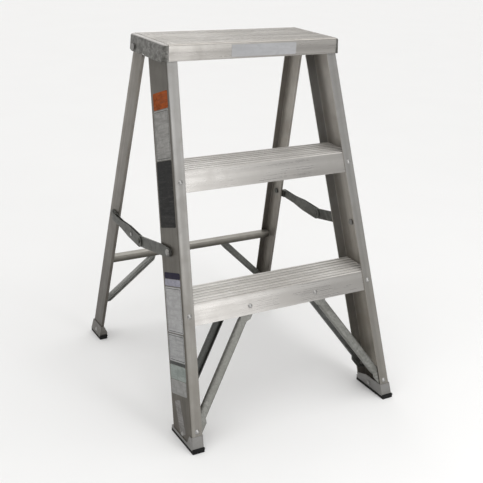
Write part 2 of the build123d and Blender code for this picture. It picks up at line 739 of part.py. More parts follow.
elbow_halves = [
    Pos(0, elbow.X, elbow.Y) * button(outside, 1, elbow_head)
    + rod(outer_x, outside + 1, elbow.X, elbow.Y, link_pivot_radius),
    Pos(0, elbow.X, elbow.Y) * button(inner_x, -1, elbow_head, elbow_tail_rise)
    + rod(inner_x - 1, inner_x + cheek_gauge, elbow.X, elbow.Y, link_pivot_radius),
]
save("spreader_elbow_rivet_left", [mirrored(half) for half in elbow_halves])
save("spreader_elbow_rivet_right", elbow_halves)


# Pivot rivets of the spreaders, with collars that reach down to the slanted webs
def link_rivet(pin, web_face, web, collar_end, head_start, holder):
    body = rod(web_face - web - link_tail, head_start + 1, pin.X, pin.Y, link_pivot_radius)
    body += rod(web_face - web, collar_end, pin.X, pin.Y, link_collar) - holder
    body += rod(web_face - web - link_tail, web_face - web / 2, pin.X, pin.Y, link_collar - 1) - holder
    return body + Pos(0, pin.X, pin.Y) * button(head_start, 1, link_pivot_head)


rail_block = slanted(rectangle(-rail_wall, 0, 0, rail_depth), rail_x, rail_y, foot_z, rail_top)
rail_block -= rod(0, base_width, front_pin.X, front_pin.Y, link_pivot_radius + rivet_fit)
leg_block = slanted(rectangle(-leg_wall, 0, 0, leg_depth), leg_x, leg_y, foot_z, pivot_z)
leg_block -= rod(0, base_width, rear_pin.X, rear_pin.Y, link_pivot_radius + rivet_fit)
front_link_rivet = link_rivet(
    front_pin, rail_x(front_pin.Y), rail_wall,
    link_x - link_slack, link_x + link_gauge + link_slack, rail_block,
)
rear_link_rivet = link_rivet(
    rear_pin, leg_x(rear_pin.Y), leg_wall,
    pad_x - link_slack, pad_x + cheek_gauge + link_slack, leg_block,
)
save("spreader_front_rivets", pair(front_link_rivet))
save("spreader_rear_rivets", pair(rear_link_rivet))

print("main pivot", round(pivot_y, 3), round(pivot_z, 3))
print("spreader pivots", front_pin, rear_pin, elbow)
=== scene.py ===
import bpy
import json
import math
from mathutils import Matrix, Vector


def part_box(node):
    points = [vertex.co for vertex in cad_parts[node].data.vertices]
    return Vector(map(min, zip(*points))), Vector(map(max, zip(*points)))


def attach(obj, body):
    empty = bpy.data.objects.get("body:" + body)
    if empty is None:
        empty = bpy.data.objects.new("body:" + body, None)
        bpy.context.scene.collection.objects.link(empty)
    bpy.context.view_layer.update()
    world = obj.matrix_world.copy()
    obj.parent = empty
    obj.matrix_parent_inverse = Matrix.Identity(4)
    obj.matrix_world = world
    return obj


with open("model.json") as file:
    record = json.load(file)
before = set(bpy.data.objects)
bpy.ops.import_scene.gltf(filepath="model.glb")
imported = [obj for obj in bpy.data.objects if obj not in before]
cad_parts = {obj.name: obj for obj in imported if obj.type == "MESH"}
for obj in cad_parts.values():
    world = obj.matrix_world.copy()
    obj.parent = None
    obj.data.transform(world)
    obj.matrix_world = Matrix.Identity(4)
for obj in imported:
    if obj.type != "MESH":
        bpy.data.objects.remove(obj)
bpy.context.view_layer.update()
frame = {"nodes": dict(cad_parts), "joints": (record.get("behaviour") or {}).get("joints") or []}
nodes = frame["nodes"]
print("frame loaded,", len(nodes), "nodes")

across = Vector((1.0, 0.0, 0.0))
rearwards = Vector((0.0, 1.0, 0.0))
upwards = Vector((0.0, 0.0, 1.0))


# Helpers for shader nodes
def addNode(tree, kind, sockets=None, **settings):
    node = tree.nodes.new(kind)
    for name, value in settings.items():
        setattr(node, name, value)
    for name, value in (sockets or {}).items():
        if isinstance(value, bpy.types.NodeSocket):
            tree.links.new(value, node.inputs[name])
        else:
            node.inputs[name].default_value = value
    return node


def addMath(tree, operation, first, second):
    return addNode(tree, "ShaderNodeMath", {0: first, 1: second}, operation=operation).outputs[0]


def addVector(tree, operation, first, second, output="Vector"):
    node = addNode(tree, "ShaderNodeVectorMath", {0: first, 1: second}, operation=operation)
    return node.outputs[output]


def addNoise(tree, vector, scale, detail, roughness, distortion=0.0):
    sockets = {"Vector": vector, "Scale": scale, "Detail": detail, "Roughness": roughness}
    sockets["Distortion"] = distortion
    return addNode(tree, "ShaderNodeTexNoise", sockets).outputs[0]


def addBump(tree, shader, height, strength, distance, normal=None):
    sockets = {"Height": height, "Strength": strength, "Distance": distance}
    if normal:
        sockets["Normal"] = normal
    tree.links.new(addNode(tree, "ShaderNodeBump", sockets).outputs[0], shader.inputs["Normal"])


# Smooth rise between two levels of a value, from one result to another
def addRange(tree, value, start, end, first=0.0, last=1.0):
    sockets = {"Value": value, "From Min": start, "From Max": end, "To Min": first, "To Max": last}
    return addNode(tree, "ShaderNodeMapRange", sockets, interpolation_type="SMOOTHSTEP").outputs[0]


# Of a Mix node's sockets, inputs 6 and 7 and output 2 are the colours
def addMix(tree, factor, first, second, blend="MIX"):
    return addNode(
        tree, "ShaderNodeMix", {0: factor, 6: first, 7: second}, data_type="RGBA", blend_type=blend
    ).outputs[2]


def newGroup(name, inputs, outputs):
    tree = bpy.data.node_groups.new(name, "ShaderNodeTree")
    for label, kind in inputs:
        tree.interface.new_socket(label, in_out="INPUT", socket_type="NodeSocket" + kind)
    for label, kind in outputs:
        tree.interface.new_socket(label, in_out="OUTPUT", socket_type="NodeSocket" + kind)
    return tree, tree.nodes.new("NodeGroupInput").outputs, tree.nodes.new("NodeGroupOutput").inputs


def useGroup(tree, group, sockets):
    return addNode(tree, "ShaderNodeGroup", sockets, node_tree=group).outputs


def newMaterial(name):
    material = bpy.data.materials.new(name)
    material.use_nodes = True
    tree = material.node_tree
    shader = tree.nodes["Principled BSDF"]
    place = addNode(tree, "ShaderNodeTexCoord").outputs["Object"]
    return material, tree, shader, place


def colour(value, tint=(1.0, 1.0, 1.0)):
    return (value * tint[0], value * tint[1], value * tint[2], 1.0)


noiseMiddle = 0.5


# Die lines that run along an extrusion
def makeDrawnLines():
    tree, given, out = newGroup(
        "drawnLines",
        [("Vector", "Vector"), ("Axis", "Vector"), ("Stretch", "Float"), ("Scale", "Float")],
        [("Fine", "Float"), ("Broad", "Float")],
    )
    along = addVector(tree, "DOT_PRODUCT", given["Vector"], given["Axis"], "Value")
    back = addNode(
        tree, "ShaderNodeVectorMath",
        {0: given["Axis"], "Scale": addMath(tree, "MULTIPLY", along, given["Stretch"])}, operation="SCALE",
    ).outputs[0]
    drawn = addVector(tree, "SUBTRACT", given["Vector"], back)
    fine = addNoise(tree, drawn, given["Scale"], detail=3.0, roughness=0.7)
    broadScale = addMath(tree, "MULTIPLY", given["Scale"], 0.13)
    broad = addNoise(tree, drawn, broadScale, detail=2.0, roughness=0.5)
    tree.links.new(fine, out["Fine"])
    tree.links.new(addRange(tree, broad, start=0.32, end=0.68), out["Broad"])
    return tree


# Cloudy dulling from handling and oxide
def makeTarnish():
    tree, given, out = newGroup(
        "tarnish",
        [("Vector", "Vector"), ("Scale", "Float"), ("Low", "Float"), ("High", "Float")],
        [("Mask", "Float")],
    )
    cloud = addNoise(tree, given["Vector"], given["Scale"], detail=6.0, roughness=0.62, distortion=0.4)
    tree.links.new(addRange(tree, cloud, given["Low"], given["High"]), out["Mask"])
    return tree


# Edges made bright, partly rubbed wear and partly a painted highlight, and a softened normal
def makeEdgeWearAndHighlight():
    tree, given, out = newGroup(
        "edgeWearAndHighlight", [("Radius", "Float")], [("Mask", "Float"), ("Normal", "Vector")]
    )
    soft = addNode(tree, "ShaderNodeBevel", {"Radius": given["Radius"]}, samples=4).outputs[0]
    true = addNode(tree, "ShaderNodeNewGeometry").outputs["True Normal"]
    turn = addVector(tree, "DOT_PRODUCT", soft, true, "Value")
    tree.links.new(addRange(tree, turn, start=0.995, end=0.86), out["Mask"])
    tree.links.new(soft, out["Normal"])
    return tree


# Faces that look one way, such as the outside of a web; the mask that paints light and shade by side
def makeFacing():
    tree, given, out = newGroup("facing", [("Normal", "Vector"), ("Way", "Vector")], [("Mask", "Float")])
    turn = addVector(tree, "DOT_PRODUCT", given["Normal"], given["Way"], "Value")
    tree.links.new(addRange(tree, turn, start=0.5, end=0.9), out["Mask"])
    return tree


# Darker downwards from one level to another: painted shade, with some grime
def makeLowGrimeAndShade():
    tree, given, out = newGroup(
        "lowGrimeAndShade", [("Vector", "Vector"), ("From", "Float"), ("To", "Float")], [("Mask", "Float")]
    )
    level = addNode(tree, "ShaderNodeSeparateXYZ", {0: given["Vector"]}).outputs["Z"]
    cloud = addNoise(tree, given["Vector"], scale=22.0, detail=5.0, roughness=0.6)
    spread = addMath(tree, "MULTIPLY", addMath(tree, "SUBTRACT", given["From"], given["To"]), 0.6)
    patchy = addMath(tree, "MULTIPLY", addMath(tree, "SUBTRACT", cloud, noiseMiddle), spread)
    mask = addRange(tree, addMath(tree, "ADD", level, patchy), given["From"], given["To"])
    tree.links.new(mask, out["Mask"])
    return tree


# Darker along the feet of the ribs on a step
def makeRibFootDark():
    tree, given, out = newGroup(
        "ribFootDark",
        [("Vector", "Vector"), ("Level", "Float"), ("First", "Float"), ("Pitch", "Float")],
        [("Mask", "Float")],
    )
    split = addNode(tree, "ShaderNodeSeparateXYZ", {0: given["Vector"]}).outputs
    past = addMath(tree, "SUBTRACT", split["Y"], given["First"])
    half = addMath(tree, "MULTIPLY", given["Pitch"], 0.5)
    share = addMath(tree, "DIVIDE", addMath(tree, "PINGPONG", past, half), half)
    sunk = addMath(tree, "SUBTRACT", given["Level"], split["Z"])
    near = addRange(tree, share, start=0.85, end=0.35)
    deep = addRange(tree, sunk, start=0.0002, end=0.001)
    tree.links.new(addMath(tree, "MULTIPLY", near, deep), out["Mask"])
    return tree


# Dirt that feet leave in the middle of a step
def makeFootDirt():
    tree, given, out = newGroup("footDirt", [("Vector", "Vector"), ("Reach", "Float")], [("Mask", "Float")])
    split = addNode(tree, "ShaderNodeSeparateXYZ", {0: given["Vector"]}).outputs
    away = addMath(tree, "ABSOLUTE", split["X"], 0.0)
    cloud = addNoise(tree, given["Vector"], scale=30.0, detail=4.0, roughness=0.6)
    patchy = addMath(tree, "MULTIPLY", addMath(tree, "SUBTRACT", cloud, noiseMiddle), given["Reach"])
    inner = addMath(tree, "MULTIPLY", given["Reach"], 0.3)
    mask = addRange(tree, addMath(tree, "ADD", away, patchy), given["Reach"], inner)
    tree.links.new(mask, out["Mask"])
    return tree


drawnLines = makeDrawnLines()
tarnish = makeTarnish()
edgeWearAndHighlight = makeEdgeWearAndHighlight()
facing = makeFacing()
lowGrimeAndShade = makeLowGrimeAndShade()
ribFootDark = makeRibFootDark()
footDirt = makeFootDirt()

reliefDepth = 0.0002  # of the finest bumps
grainLevels = (0.3, 0.7)  # between which most of a grain lies


def addCloud(tree, place, look):
    low, high = look["cloudLevels"]
    sockets = {"Vector": place, "Scale": look["cloudScale"], "Low": low, "High": high}
    return useGroup(tree, tarnish, sockets)["Mask"]


# A tone dulled by clouds and brighter at its edges, partly rubbed wear and partly a painted highlight
def addWearAndEdgeHighlight(tree, cloud, look, tone):
    edge = useGroup(tree, edgeWearAndHighlight, {"Radius": look["edge"]})
    dulled = addMix(tree, addMath(tree, "MULTIPLY", cloud, look["cloudShare"]), tone, look["dull"])
    wornAndHighlit = addMix(tree, addMath(tree, "MULTIPLY", edge["Mask"], look["edgeShare"]), dulled, look["rubbedAndHighlight"])
    return wornAndHighlit, edge["Normal"]


def addFacing(tree, way):
    normal = addNode(tree, "ShaderNodeTexCoord").outputs["Normal"]
    return useGroup(tree, facing, {"Normal": normal, "Way": way})["Mask"]


# Painted light on the faces of a step that look up, with foot dirt and darker rib feet
def lightAndSoilStep(tree, shader, place, look, ribs, tone, rough):
    upper = addFacing(tree, upwards)
    groove = useGroup(
        tree, ribFootDark,
        {"Vector": place, "Level": ribs["level"], "First": ribs["first"], "Pitch": ribs["pitch"]},
    )["Mask"]
    grooveDark = addMath(tree, "MULTIPLY", addMath(tree, "MULTIPLY", groove, upper), look["grooveShare"])
    feet = useGroup(tree, footDirt, {"Vector": place, "Reach": look["footReach"]})["Mask"]
    # painted light: the faces that look up are made lighter
    tone = addMix(tree, upper, tone, look["upper"], "MULTIPLY")
    tone = addMix(tree, addMath(tree, "MULTIPLY", feet, upper), tone, look["foot"], "MULTIPLY")
    tone = addMix(tree, grooveDark, tone, look["groove"], "MULTIPLY")
    rough = addMath(tree, "ADD", rough, addMath(tree, "MULTIPLY", upper, look["upperRough"]))
    metal = addRange(tree, upper, 0.0, 1.0, look["metallic"], look["upperMetallic"])
    tree.links.new(metal, shader.inputs["Metallic"])
    return tone, rough


# Extruded aluminium, with its lines along the given direction and painted shade or light for each side that
# has one
def makeAluminium(name, axis, look, sides=(), ribs=None):
    material, tree, shader, place = newMaterial(name)
    lines = useGroup(
        tree, drawnLines,
        {"Vector": place, "Axis": axis, "Stretch": look["stretch"], "Scale": look["lineScale"]},
    )
    bands = addMix(tree, lines["Broad"], look["dark"], look["light"])
    cloud = addCloud(tree, place, look)
    wornAndHighlit, softened = addWearAndEdgeHighlight(tree, cloud, look, bands)
    low, high = look["grimeAndShadeLevels"]
    # painted shade, with some grime: darker towards the bottom
    grimeAndShade = useGroup(tree, lowGrimeAndShade, {"Vector": place, "From": high, "To": low})["Mask"]
    tone = addMix(tree, grimeAndShade, wornAndHighlit, look["grimeAndShade"], "MULTIPLY")
    # painted shade and light: each listed side made darker or lighter by a facing mask
    for way, tint in sides:
        tone = addMix(tree, addFacing(tree, way), tone, tint, "MULTIPLY")
    rough = addRange(tree, lines["Fine"], *grainLevels, *look["rough"])
    rough = addMath(tree, "ADD", rough, addMath(tree, "MULTIPLY", cloud, look["cloudRough"]))
    shader.inputs["Metallic"].default_value = look["metallic"]
    if ribs:
        tone, rough = lightAndSoilStep(tree, shader, place, look, ribs, tone, rough)
    tree.links.new(tone, shader.inputs["Base Color"])
    tree.links.new(rough, shader.inputs["Roughness"])
    addBump(tree, shader, lines["Fine"], look["bump"], reliefDepth, softened)
    return material


railLook = {
    "dark": colour(0.255, (1.0, 0.98, 0.945)),
    "light": colour(0.335, (1.0, 0.985, 0.955)),
    "dull": colour(0.21, (1.02, 0.965, 0.89)),
    "rubbedAndHighlight": colour(0.46, (1.0, 0.99, 0.96)),
    "grimeAndShade": colour(0.80, (1.0, 0.97, 0.91)),
    "grimeAndShadeLevels": (0.0, 0.75),
    # painted shade on the outer webs, painted light on the inner webs
    "outerWeb": colour(0.36, (1.0, 0.94, 0.83)),
    "innerWeb": colour(1.32, (1.0, 0.96, 0.91)),
    "stretch": 0.985,
    "lineScale": 420.0,
    "cloudScale": 11.0,
    "cloudLevels": (0.38, 0.72),
    "cloudShare": 0.55,
    "cloudRough": 0.08,
    "rough": (0.34, 0.46),
    "edge": 0.0009,
    "edgeShare": 0.45,
    "bump": 0.25,
    "metallic": 0.55,
}
treadLook = dict(
    railLook,
    dark=colour(0.40, (1.0, 0.965, 0.92)),
    light=colour(0.49, (1.0, 0.97, 0.93)),
    dull=colour(0.35, (1.01, 0.965, 0.905)),
    rubbedAndHighlight=colour(0.66, (1.0, 0.99, 0.97)),
    grimeAndShade=colour(1.0),
    rough=(0.24, 0.34),
    metallic=0.6,
    # painted light on the tops of the treads
    upper=colour(1.64),
    foot=colour(0.72, (1.0, 0.985, 0.97)),
    footReach=0.17,
    upperRough=0.1,
    upperMetallic=0.12,
    groove=colour(0.36, (1.0, 0.97, 0.93)),
    grooveShare=0.9,
)
topLook = dict(
    treadLook,
    dark=colour(0.26, (1.0, 0.955, 0.90)),
    light=colour(0.38, (1.0, 0.96, 0.905)),
    dull=colour(0.23, (1.01, 0.955, 0.88)),
    # painted light on the top of the top step
    upper=colour(2.05, (1.0, 0.985, 0.965)),
    foot=colour(0.94),
    upperRough=-0.08,
    upperMetallic=0.5,
    grooveShare=0.6,
)
legLook = dict(
    railLook,
    dark=colour(0.21, (1.0, 0.93, 0.84)),
    light=colour(0.28, (1.0, 0.94, 0.85)),
    dull=colour(0.175, (1.02, 0.93, 0.80)),
    # painted shade: the legs darker towards the bottom
    grimeAndShade=colour(0.38, (1.0, 0.97, 0.92)),
    # painted light on the inner webs of the legs
    innerWeb=colour(1.6),
)
barLook = dict(
    railLook,
    dark=colour(0.25, (1.0, 0.945, 0.83)),
    light=colour(0.33, (1.0, 0.95, 0.85)),
    dull=colour(0.21, (1.0, 0.95, 0.80)),
    # painted shade on the lower half of the crossbar
    grimeAndShade=colour(0.28, (1.0, 0.98, 0.92)),
    grimeAndShadeLevels=(0.231, 0.245),
)


# Hot-dipped sheet with its spangle
def makeGalvanised(name, look):
    material, tree, shader, place = newMaterial(name)
    cells = addNode(tree, "ShaderNodeTexVoronoi", {"Vector": place, "Scale": look["spangle"]})
    shade = addNode(tree, "ShaderNodeSeparateColor", {0: cells.outputs["Color"]}).outputs[0]
    flake = addMix(tree, shade, look["dark"], look["light"])
    wornAndHighlit, softened = addWearAndEdgeHighlight(tree, addCloud(tree, place, look), look, flake)
    # painted light: faces that look up get a lighter tone
    if "upper" in look:
        wornAndHighlit = addMix(tree, addFacing(tree, upwards), wornAndHighlit, look["upper"])
    tree.links.new(wornAndHighlit, shader.inputs["Base Color"])
    rough = addRange(tree, shade, 0.0, 1.0, *look["rough"])
    tree.links.new(rough, shader.inputs["Roughness"])
    addBump(tree, shader, cells.outputs["Distance"], look["bump"], reliefDepth, softened)
    shader.inputs["Metallic"].default_value = look["metallic"]
    return material


braceLook = {
    "spangle": 240.0,
    "cloudScale": 26.0,
    "cloudLevels": (0.4, 0.7),
    "cloudShare": 0.5,
    "dark": colour(0.16, (1.0, 1.0, 0.92)),
    "light": colour(0.25, (1.0, 1.0, 0.93)),
    "dull": colour(0.14, (1.0, 0.99, 0.87)),
    # edges partly worn bright, partly a painted highlight
    "rubbedAndHighlight": colour(0.40),
    "edge": 0.0008,
    "edgeShare": 0.4,
    "rough": (0.36, 0.52),
    "bump": 0.15,
    "metallic": 0.6,
}
# A darker copy of the brace sheet: painted shade on the rear braces under the tread
shadedBraceLook = dict(
    braceLook,
    dark=colour(0.085, (0.98, 1.0, 0.94)),
    light=colour(0.15, (0.98, 1.0, 0.95)),
    dull=colour(0.07, (1.0, 1.0, 0.90)),
    rubbedAndHighlight=colour(0.26),
)
linkLook = dict(
    braceLook,
    spangle=160.0,
    cloudScale=55.0,
    cloudShare=0.8,
    dark=colour(0.06, (0.99, 1.0, 0.88)),
    light=colour(0.125, (0.99, 1.0, 0.90)),
    dull=colour(0.035, (1.0, 0.99, 0.82)),
    rubbedAndHighlight=colour(0.24),
)
diagonalLook = dict(
    braceLook,
    dark=colour(0.31, (0.99, 1.0, 0.95)),
    light=colour(0.42, (0.99, 1.0, 0.96)),
    dull=colour(0.27, (1.0, 0.99, 0.92)),
)
# A darker copy of the diagonal sheet: painted shade on the right diagonal
shadedDiagonalLook = dict(
    diagonalLook,
    dark=colour(0.13, (0.99, 1.0, 0.92)),
    light=colour(0.20, (0.99, 1.0, 0.93)),
    dull=colour(0.10, (1.0, 0.99, 0.88)),
)
bracketLook = dict(
    braceLook,
    cloudScale=48.0,
    cloudShare=0.85,
    dark=colour(0.12, (1.0, 0.98, 0.90)),
    light=colour(0.26, (1.0, 0.98, 0.92)),
    dull=colour(0.045, (1.0, 0.98, 0.80)),
    # edges partly worn bright, partly a painted highlight along the rim
    rubbedAndHighlight=colour(0.5, (1.0, 0.98, 0.95)),
    # painted light on the bracket's top faces
    upper=colour(0.42, (1.0, 0.965, 0.92)),
)


# Turned or pressed small metal, without a direction
def makeSmallMetal(name, look):
    material, tree, shader, place = newMaterial(name)
    grain = addNoise(tree, place, look["grain"], detail=4.0, roughness=0.6)
    wornAndHighlit, softened = addWearAndEdgeHighlight(tree, addCloud(tree, place, look), look, look["base"])
    tree.links.new(wornAndHighlit, shader.inputs["Base Color"])
    rough = addRange(tree, grain, *grainLevels, *look["rough"])
    tree.links.new(rough, shader.inputs["Roughness"])
    addBump(tree, shader, grain, look["bump"], reliefDepth, softened)
    shader.inputs["Metallic"].default_value = look["metallic"]
    return material


rivetLook = {
    "base": colour(0.38, (1.0, 0.99, 0.97)),
    "dull": colour(0.27, (1.0, 0.98, 0.93)),
    "rubbedAndHighlight": colour(0.5),
    "grain": 900.0,
    "cloudScale": 60.0,
    "cloudLevels": (0.4, 0.7),
    "cloudShare": 0.6,
    "edge": 0.0004,
    "edgeShare": 0.4,
    "rough": (0.26, 0.4),
    "bump": 0.15,
    "metallic": 0.92,
}
dullRivetLook = dict(
    rivetLook,
    base=colour(0.24, (1.0, 0.98, 0.94)),
    dull=colour(0.16, (1.0, 0.97, 0.92)),
    rubbedAndHighlight=colour(0.36),
)
shoeLook = dict(
    rivetLook,
    base=colour(0.235, (1.0, 0.98, 0.95)),
    dull=colour(0.19, (1.0, 0.97, 0.9)),
    rubbedAndHighlight=colour(0.42),
    grain=700.0,
    cloudScale=35.0,
    edge=0.0012,
    rough=(0.38, 0.55),
    bump=0.3,
    metallic=0.55,
)
rearShoeLook = dict(shoeLook, base=colour(0.15, (1.0, 0.95, 0.87)), dull=colour(0.10, (1.0, 0.95, 0.85)))


# Rubber, dusty in patches
def makeRubber(look):
    material, tree, shader, place = newMaterial("soleRubber")
    grain = addNoise(tree, place, look["grain"], detail=5.0, roughness=0.65)
    dust = addCloud(tree, place, look)
    edge = useGroup(tree, edgeWearAndHighlight, {"Radius": look["edge"]})
    rubbedAndHighlight = addMath(tree, "MULTIPLY", edge["Mask"], look["edgeShare"])
    wornAndHighlit = addMath(tree, "MAXIMUM", addMath(tree, "MULTIPLY", dust, look["cloudShare"]), rubbedAndHighlight)
    tree.links.new(addMix(tree, wornAndHighlit, look["base"], look["dusty"]), shader.inputs["Base Color"])
    rough = addRange(tree, grain, *grainLevels, *look["rough"])
    tree.links.new(rough, shader.inputs["Roughness"])
    addBump(tree, shader, grain, look["bump"], look["relief"], edge["Normal"])
    shader.inputs["Specular IOR Level"].default_value = look["specular"]
    return material


rubberLook = {
    "base": colour(0.006),
    "dusty": colour(0.035, (1.0, 0.97, 0.93)),
    "grain": 900.0,
    "cloudScale": 70.0,
    "cloudLevels": (0.5, 0.8),
    "cloudShare": 0.5,
    "edge": 0.001,
    "edgeShare": 0.4,
    "rough": (0.62, 0.8),
    "bump": 0.4,
    "relief": 0.0003,
    "specular": 0.2,
}


# Film of a plain sticker, creased across and scuffed
def makeFilm(name, axis, ink, faded):
    material, tree, shader, place = newMaterial(name)
    crease = useGroup(
        tree, drawnLines,
        {"Vector": place, "Axis": axis, "Stretch": filmLook["stretch"], "Scale": filmLook["creaseScale"]},
    )["Fine"]
    crease = addRange(tree, crease, *filmLook["creaseLevels"])
    patch = addCloud(tree, place, filmLook["patch"])
    scuff = addCloud(tree, place, filmLook["scuff"])
    lightest = addMath(tree, "MULTIPLY", patch, filmLook["patch"]["share"])
    share = addMath(tree, "MAXIMUM", addMath(tree, "MULTIPLY", crease, filmLook["creaseShare"]), lightest)
    printed = addMix(tree, share, ink, faded)
    tone = addMix(
        tree, addMath(tree, "MULTIPLY", scuff, filmLook["scuff"]["share"]), printed, filmLook["scuffed"]
    )
    tree.links.new(tone, shader.inputs["Base Color"])
    rough = addRange(tree, patch, 0.0, 1.0, *filmLook["rough"])
    tree.links.new(rough, shader.inputs["Roughness"])
    addBump(tree, shader, crease, filmLook["bump"], filmLook["relief"])
    shader.inputs["Specular IOR Level"].default_value = filmLook["specular"]
    return material


filmLook = {
    "stretch": 0.9,
    "creaseScale": 150.0,
    "creaseLevels": (0.4, 0.66),
    "creaseShare": 0.6,
    "patch": {"cloudScale": 60.0, "cloudLevels": (0.4, 0.72), "share": 0.7},
    "scuff": {"cloudScale": 240.0, "cloudLevels": (0.6, 0.72), "share": 0.25},
    "scuffed": colour(0.2, (1.0, 0.98, 0.95)),
    "rough": (0.5, 0.68),
    "bump": 0.2,
    "relief": 0.0003,
    "specular": 0.08,
}


# Directions of the extrusions, read from the nodes' lowest and highest rings
ringDepth = 0.0005
ribDepth = 0.0001  # within which a corner counts as on a rib's top


def endCorners(node):
    points = [vertex.co for vertex in nodes[node].data.vertices]
    low = min(p.z for p in points)
    high = max(p.z for p in points)
    return [[p for p in points if abs(p.z - level) < ringDepth] for level in (low, high)]


def drawnAxis(node):
    bottom, top = endCorners(node)
    middle = [sum(ring, Vector()) / len(ring) for ring in (bottom, top)]
    return (middle[1] - middle[0]).normalized()


# Level, first middle line and pitch of the ribs on a step
def findRibs(node):
    points = [vertex.co for vertex in nodes[node].data.vertices]
    level = max(p.z for p in points)
    edges = sorted({round(p.y, 4) for p in points if level - p.z < ribDepth})
    middles = [(a + b) / 2 for a, b in zip(edges[0::2], edges[1::2])]
    pitch = (middles[-1] - middles[0]) / (len(middles) - 1)
    return {"level": level, "first": middles[0], "pitch": pitch}


finishes = {
    "crossbarAluminium": makeAluminium("crossbarAluminium", across, barLook),
    "brace": makeGalvanised("braceSheet", braceLook),
    "rear_brace": makeGalvanised("shadedBraceSheet", shadedBraceLook),
    "rear_diagonal_left": makeGalvanised("diagonalSheet", diagonalLook),
    "rear_diagonal_right": makeGalvanised("shadedDiagonalSheet", shadedDiagonalLook),
    "link": makeGalvanised("linkSheet", linkLook),
    "bracket": makeGalvanised("bracketSheet", bracketLook),
    "rivet": makeSmallMetal("rivetMetal", rivetLook),
    "dullRivet": makeSmallMetal("dullRivetMetal", dullRivetLook),
    "front_shoe": makeSmallMetal("frontShoeMetal", shoeLook),
    "rear_shoe": makeSmallMetal("rearShoeMetal", rearShoeLook),
    "rubber": makeRubber(rubberLook),
}
for step, look in (("lower_tread", treadLook), ("upper_tread", treadLook), ("top_step", topLook)):
    finishes[step] = makeAluminium("aluminium_" + step, across, look, ribs=findRibs(step))
for sideName, outward in (("left", -across), ("right", across)):
    rail = "front_rail_" + sideName
    leg = "rear_leg_" + sideName
    webs = ((outward, railLook["outerWeb"]), (-outward, railLook["innerWeb"]))
    finishes[rail] = makeAluminium("aluminium_" + rail, drawnAxis(rail), railLook, webs)
    inside = ((-outward, legLook["innerWeb"]),)
    finishes[leg] = makeAluminium("aluminium_" + leg, drawnAxis(leg), legLook, inside)


def finishFor(node):
    if node in finishes:
        return finishes[node]
    if node == "rear_crossbar":
        return finishes["crossbarAluminium"]
    if "shoe" in node and "bolt" not in node and "rivet" not in node:
        return finishes[node.rsplit("_", 1)[0]]
    if "sole" in node:
        return finishes["rubber"]
    if "link" in node or "elbow" in node or node == "spreader_rear_rivets":
        return finishes["link"]
    if node in ("bracket_rivets", "leg_pivot_bolts", "spreader_front_rivets"):
        return finishes["dullRivet"]
    if any(word in node for word in ("rivet", "bolt", "nut", "spacer")):
        return finishes["rivet"]
    return finishes[next((word for word in ("bracket", "rear_brace") if word in node), "brace")]


for name, piece in nodes.items():
    piece.data.materials.clear()
    piece.data.materials.append(finishFor(name))
print("finishes on the frame:", len(finishes))


# Plain stickers, thin sheets with rounded corners
cornerLimit = 2.2  # least height of a sheet, in radii of its corners


def deselectAll():
    if bpy.context.object and bpy.context.object.mode != "OBJECT":
        bpy.ops.object.mode_set(mode="OBJECT")
    bpy.ops.object.select_all(action="DESELECT")


def makeSheet(name, width, height, sheet, film, rule=None):
    deselectAll()
    bpy.ops.mesh.primitive_plane_add(size=1.0)
    piece = bpy.context.object
    piece.name = name
    piece.data.materials.append(film)
    piece.scale = (width, height, 1.0)
    bpy.ops.object.transform_apply(location=False, rotation=False, scale=True)
    bpy.ops.object.mode_set(mode="EDIT")
    bpy.ops.mesh.select_all(action="SELECT")
    bpy.ops.mesh.bevel(offset=min(sheet["corner"], height / cornerLimit), segments=4, affect="VERTICES")
    bpy.ops.mesh.select_all(action="SELECT")
    bpy.ops.mesh.extrude_region_move(TRANSFORM_OT_translate={"value": (0.0, 0.0, sheet["thick"])})
    if rule:
        piece.data.materials.append(rule)
        bpy.ops.mesh.inset(thickness=sheet["margin"])
        bpy.ops.mesh.inset(thickness=sheet["rule"], use_select_inset=True)
        piece.active_material_index = 1
        bpy.ops.object.material_slot_assign()
    bpy.ops.mesh.select_all(action="SELECT")
    bpy.ops.mesh.normals_make_consistent(inside=False)
    bpy.ops.object.mode_set(mode="OBJECT")
    return piece


def settle(piece, place, body):
    deselectAll()
    piece.select_set(True)
    bpy.context.view_layer.objects.active = piece
    piece.matrix_world = place
    bpy.ops.object.transform_apply(location=True, rotation=True, scale=True)
    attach(piece, body)


